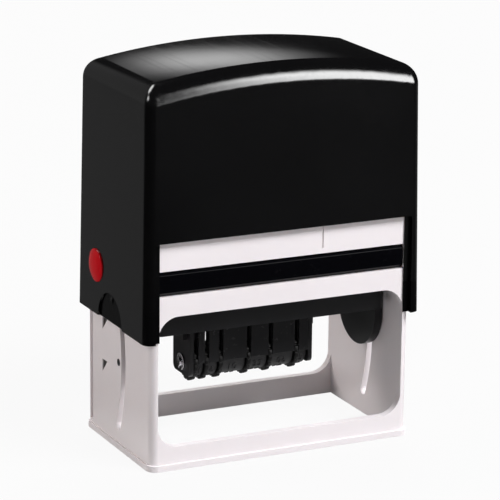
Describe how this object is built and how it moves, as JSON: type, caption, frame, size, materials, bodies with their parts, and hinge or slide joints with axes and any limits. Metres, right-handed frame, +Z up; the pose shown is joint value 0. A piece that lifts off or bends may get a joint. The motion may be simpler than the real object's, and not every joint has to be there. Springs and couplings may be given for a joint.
{
  "type": "self-inking date and time stamp",
  "caption": "Self-inking date stamp: a cap slides down over a frame on a spring while a rotor with text plate and date wheels turns from ink pad to paper.",
  "frame": {"origin": "centre of the base footprint on the paper", "axes": "+X along the stamp to the right, -Y is the front with the pad cassette bar, +Z up"},
  "size_m": [0.0998, 0.056, 0.1278],
  "materials": {
    "cap_plastic": "high gloss",
    "frame_plastic": "satin",
    "cassette_plastic": "semi gloss",
    "rotor_plastic": "satin",
    "cover_plastic": "semi gloss",
    "wheel_plastic": "satin",
    "button_plastic": "gloss",
    "ink_foam": "soaked foam",
    "print_rubber": "matte",
    "band_rubber": "matte",
    "spring_steel": "drawn wire",
    "bright_steel": "polished"
  },
  "bodies": {
    "frame": {"frame_housing": "frame_plastic", "turning_studs": "rotor_plastic", "pad_cassette": "cassette_plastic", "ink_pad": "ink_foam", "return_spring": "spring_steel"},
    "cap": {"cap_shell": "cap_plastic"},
    "lock_left": {"lock_button_left": "button_plastic"},
    "lock_right": {"lock_button_right": "button_plastic"},
    "rotor": {"carriage": "rotor_plastic", "turning_cheek_left": "rotor_plastic", "turning_cheek_right": "rotor_plastic", "text_plate": "rotor_plastic", "text_rubber": "print_rubber", "dater_cheek_left": "rotor_plastic", "dater_cheek_right": "rotor_plastic", "dater_cover_front": "cover_plastic", "dater_cover_rear": "cover_plastic", "band_bridge": "rotor_plastic", "wheel_shaft": "bright_steel", "shaft_clips": "bright_steel", "day_tens_band": "band_rubber", "day_units_band": "band_rubber", "month_band": "band_rubber", "year_band": "band_rubber", "hour_band": "band_rubber", "minute_band": "band_rubber"},
    "day_tens": {"day_tens_wheel": "wheel_plastic"},
    "day_units": {"day_units_wheel": "wheel_plastic"},
    "month": {"month_wheel": "wheel_plastic"},
    "year": {"year_wheel": "wheel_plastic"},
    "hour": {"hour_wheel": "wheel_plastic"},
    "minute": {"minute_wheel": "wheel_plastic"}
  },
  "joints": [
    {"name": "cap_slide", "type": "slide", "parent": "frame", "child": "cap", "axis": [0, 0, -1], "range_m": [0, 0.034], "stiffness_N_per_m": 500, "springref_m": -0.012, "deforming": ["return_spring"]},
    {"name": "rotor_turn", "type": "hinge", "parent": "cap", "child": "rotor", "pos_m": [0, 0, 0.046], "axis": [1, 0, 0], "range_deg": [0, 180]},
    {"name": "lock_left_press", "type": "slide", "parent": "cap", "child": "lock_left", "axis": [1, 0, 0], "range_m": [0, 0.0011], "stiffness_N_per_m": 600, "springref_m": -0.001},
    {"name": "lock_right_press", "type": "slide", "parent": "cap", "child": "lock_right", "axis": [-1, 0, 0], "range_m": [0, 0.0011], "stiffness_N_per_m": 600, "springref_m": -0.001},
    {"name": "day_tens_turn", "type": "hinge", "parent": "rotor", "child": "day_tens", "pos_m": [0, 0, 0.0266], "axis": [1, 0, 0], "continuous": true},
    {"name": "day_units_turn", "type": "hinge", "parent": "rotor", "child": "day_units", "pos_m": [0, 0, 0.0266], "axis": [1, 0, 0], "continuous": true},
    {"name": "month_turn", "type": "hinge", "parent": "rotor", "child": "month", "pos_m": [0, 0, 0.0266], "axis": [1, 0, 0], "continuous": true},
    {"name": "year_turn", "type": "hinge", "parent": "rotor", "child": "year", "pos_m": [0, 0, 0.0266], "axis": [1, 0, 0], "continuous": true},
    {"name": "hour_turn", "type": "hinge", "parent": "rotor", "child": "hour", "pos_m": [0, 0, 0.0266], "axis": [1, 0, 0], "continuous": true},
    {"name": "minute_turn", "type": "hinge", "parent": "rotor", "child": "minute", "pos_m": [0, 0, 0.0266], "axis": [1, 0, 0], "continuous": true}
  ],
  "couplings": [
    {"joint": "rotor_turn", "follows": "cap_slide", "rad_per_m": 92.4}
  ]
}
